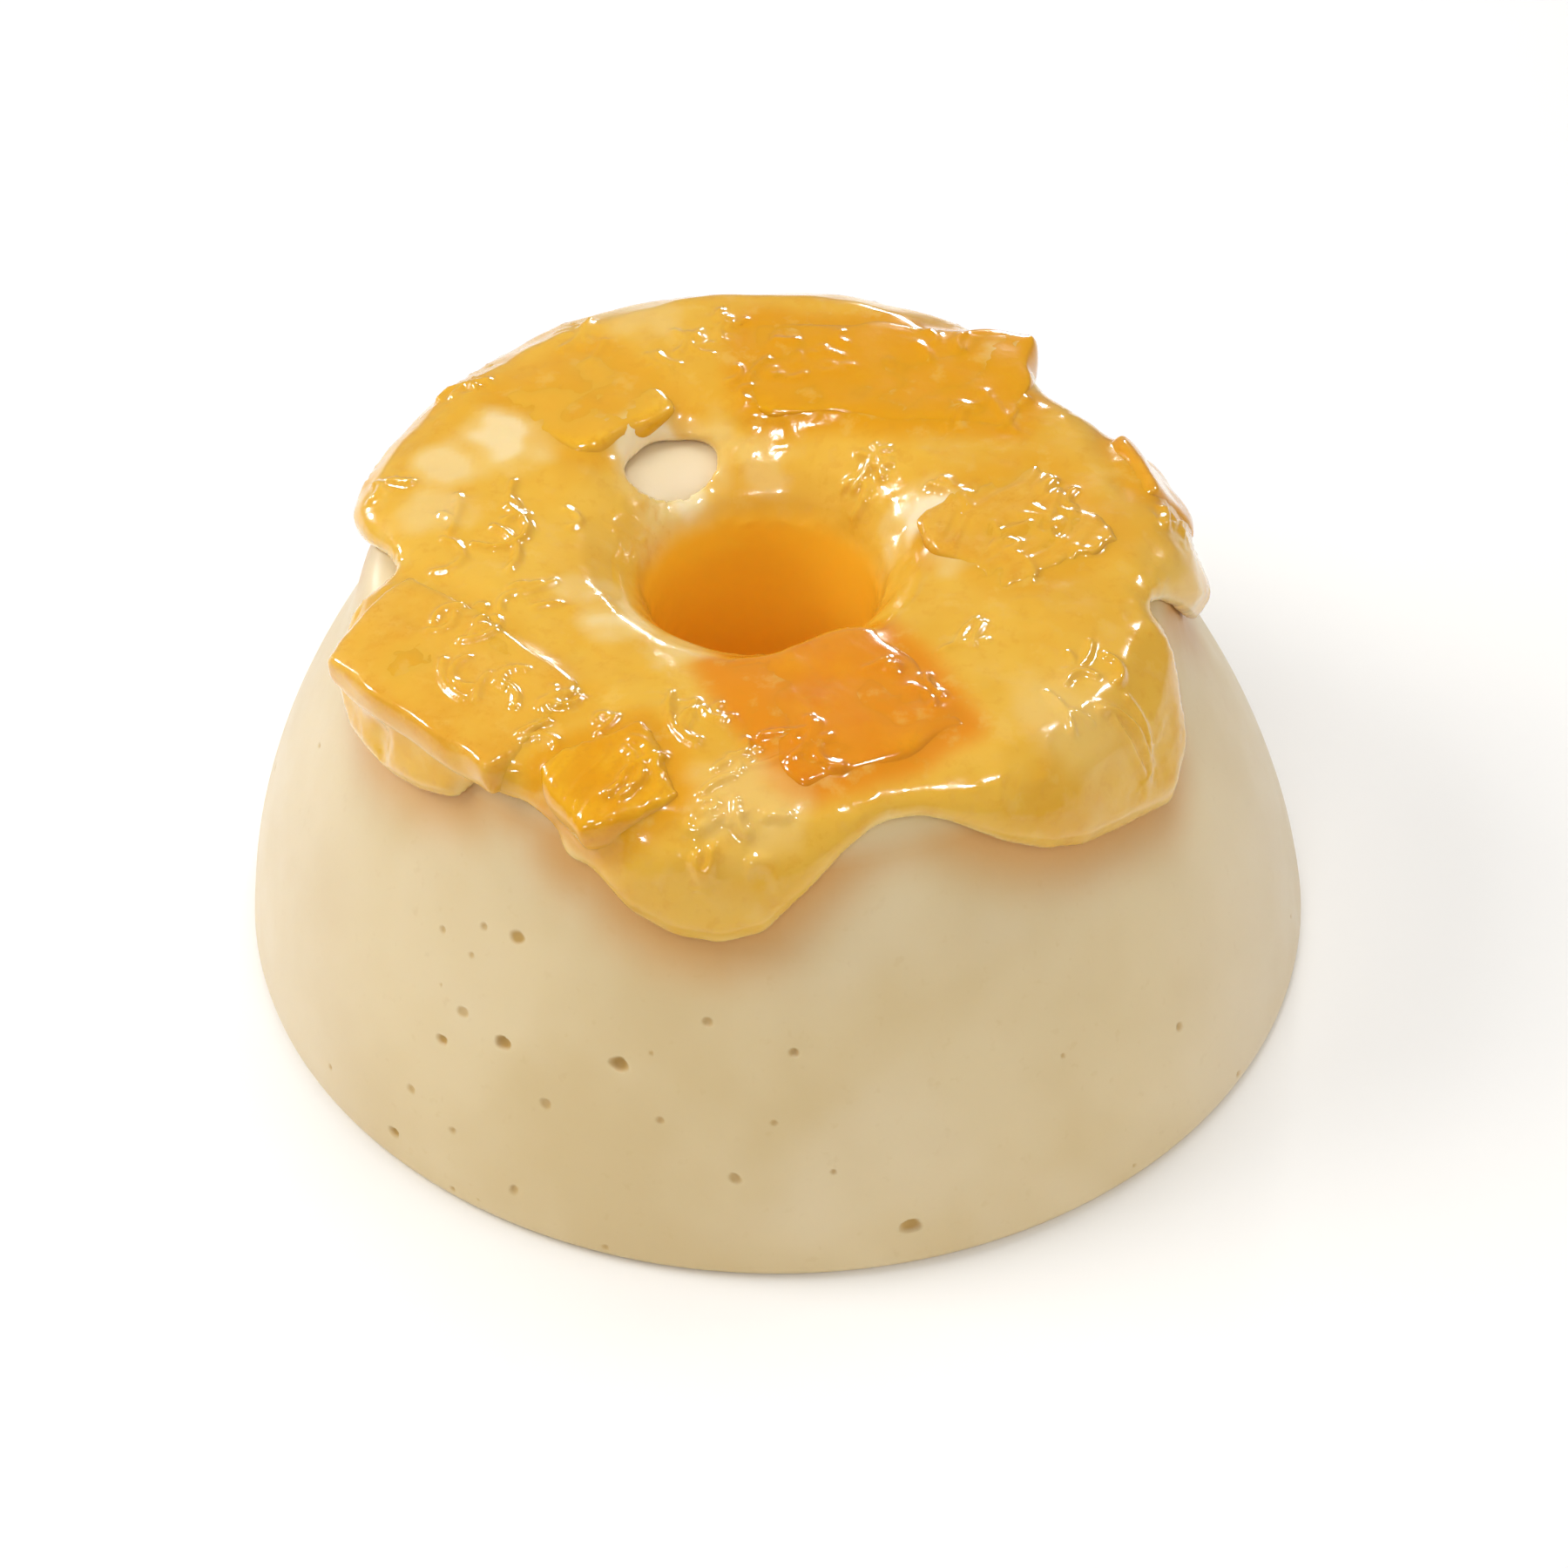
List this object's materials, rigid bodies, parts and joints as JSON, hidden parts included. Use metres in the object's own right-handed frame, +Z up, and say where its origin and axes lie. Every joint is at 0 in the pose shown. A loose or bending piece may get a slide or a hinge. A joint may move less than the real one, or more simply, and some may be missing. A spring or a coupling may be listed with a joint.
{
  "type": "ring-moulded cream pudding with fruit sauce",
  "caption": "Ring-moulded cream pudding with a well through it, a lobed golden fruit sauce over its crown and pieces of fruit set in the sauce.",
  "frame": {"origin": "centre of the face that the pudding rests on", "axes": "+Z up, -Y towards the front, where the lowest lobe of sauce hangs"},
  "size_m": [0.0997, 0.0998, 0.045],
  "materials": {
    "cream": "smooth set cream with a soft satin surface",
    "sauce": "wet translucent fruit sauce",
    "fruit": "soft ripe fruit under sauce"
  },
  "bodies": {
    "root": {"pudding": "cream", "fruit_sauce": "sauce", "well_sauce": "sauce", "fruit_piece_front": "fruit", "fruit_piece_front_left": "fruit", "fruit_piece_left": "fruit", "fruit_piece_back": "fruit", "fruit_piece_right": "fruit", "fruit_piece_back_left": "fruit", "fruit_piece_corner": "fruit"}
  },
  "joints": []
}
